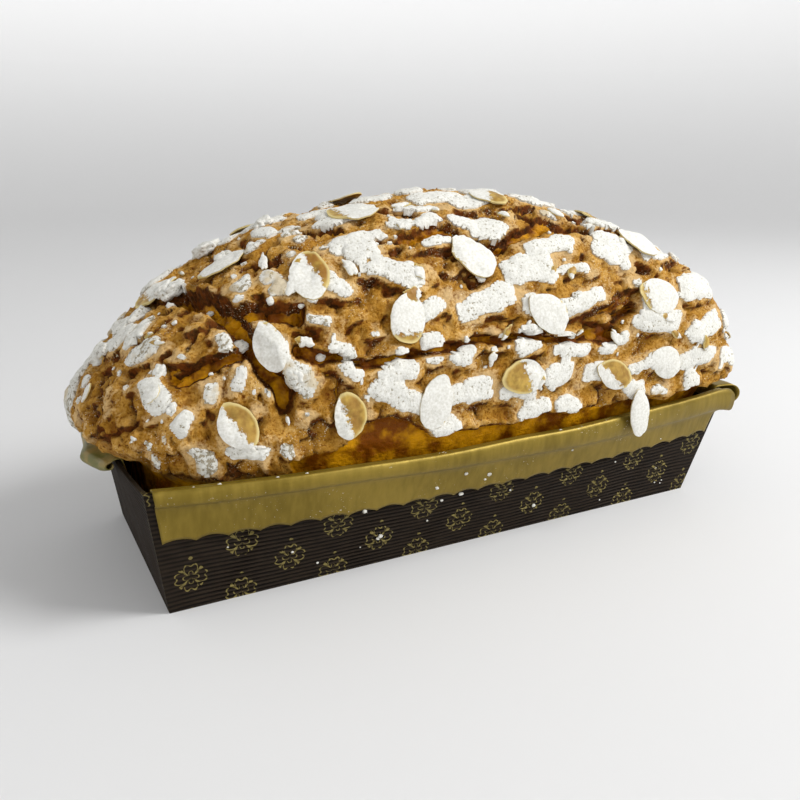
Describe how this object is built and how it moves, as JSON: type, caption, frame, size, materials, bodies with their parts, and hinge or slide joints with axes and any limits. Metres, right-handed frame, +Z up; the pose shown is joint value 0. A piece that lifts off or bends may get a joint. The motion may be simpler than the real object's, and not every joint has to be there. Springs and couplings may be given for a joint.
{
  "type": "almond loaf cake in a paper mould",
  "caption": "Dome-topped almond-glazed loaf cake dusted with icing sugar and flaked almonds, in its own tapered corrugated paper mould with a folded gold rim.",
  "frame": {"origin": "on the table under the middle of the paper mould", "axes": "+X along the loaf, +Y from its front to its back, +Z up"},
  "size_m": [0.2691, 0.1195, 0.1305],
  "materials": {
    "baked_crust": "baked almond glaze crust, hazelnut brown, rough and cracked, amber where the crumb shows",
    "icing_sugar": "matt white icing sugar, caked and powdery",
    "flaked_almond": "toasted flaked almond, satin, lightly dusted",
    "brown_paper": "dark brown corrugated baking paper with a small gold print",
    "gold_liner": "dull gold greaseproof liner paper, satin"
  },
  "bodies": {
    "root": {"cake": "baked_crust", "paper_tray": "brown_paper", "liner_band_front": "gold_liner", "liner_band_back": "gold_liner", "liner_flap_left": "gold_liner", "liner_flap_right": "gold_liner", "almond_01": "flaked_almond", "almond_02": "flaked_almond", "almond_03": "flaked_almond", "almond_04": "flaked_almond", "almond_05": "flaked_almond", "almond_06": "flaked_almond", "almond_07": "flaked_almond", "almond_08": "flaked_almond", "almond_09": "flaked_almond", "almond_10": "flaked_almond", "almond_11": "flaked_almond", "almond_12": "flaked_almond", "almond_13": "flaked_almond", "almond_14": "flaked_almond", "almond_15": "flaked_almond", "almond_16": "flaked_almond", "almond_17": "flaked_almond", "almond_18": "flaked_almond", "almond_19": "flaked_almond", "almond_20": "flaked_almond", "almond_21": "flaked_almond", "almond_22": "flaked_almond", "almond_23": "flaked_almond", "almond_24": "flaked_almond", "almond_25": "flaked_almond", "almond_26": "flaked_almond", "almond_27": "flaked_almond", "almond_28": "flaked_almond", "almond_over_rim": "flaked_almond"}
  },
  "joints": []
}
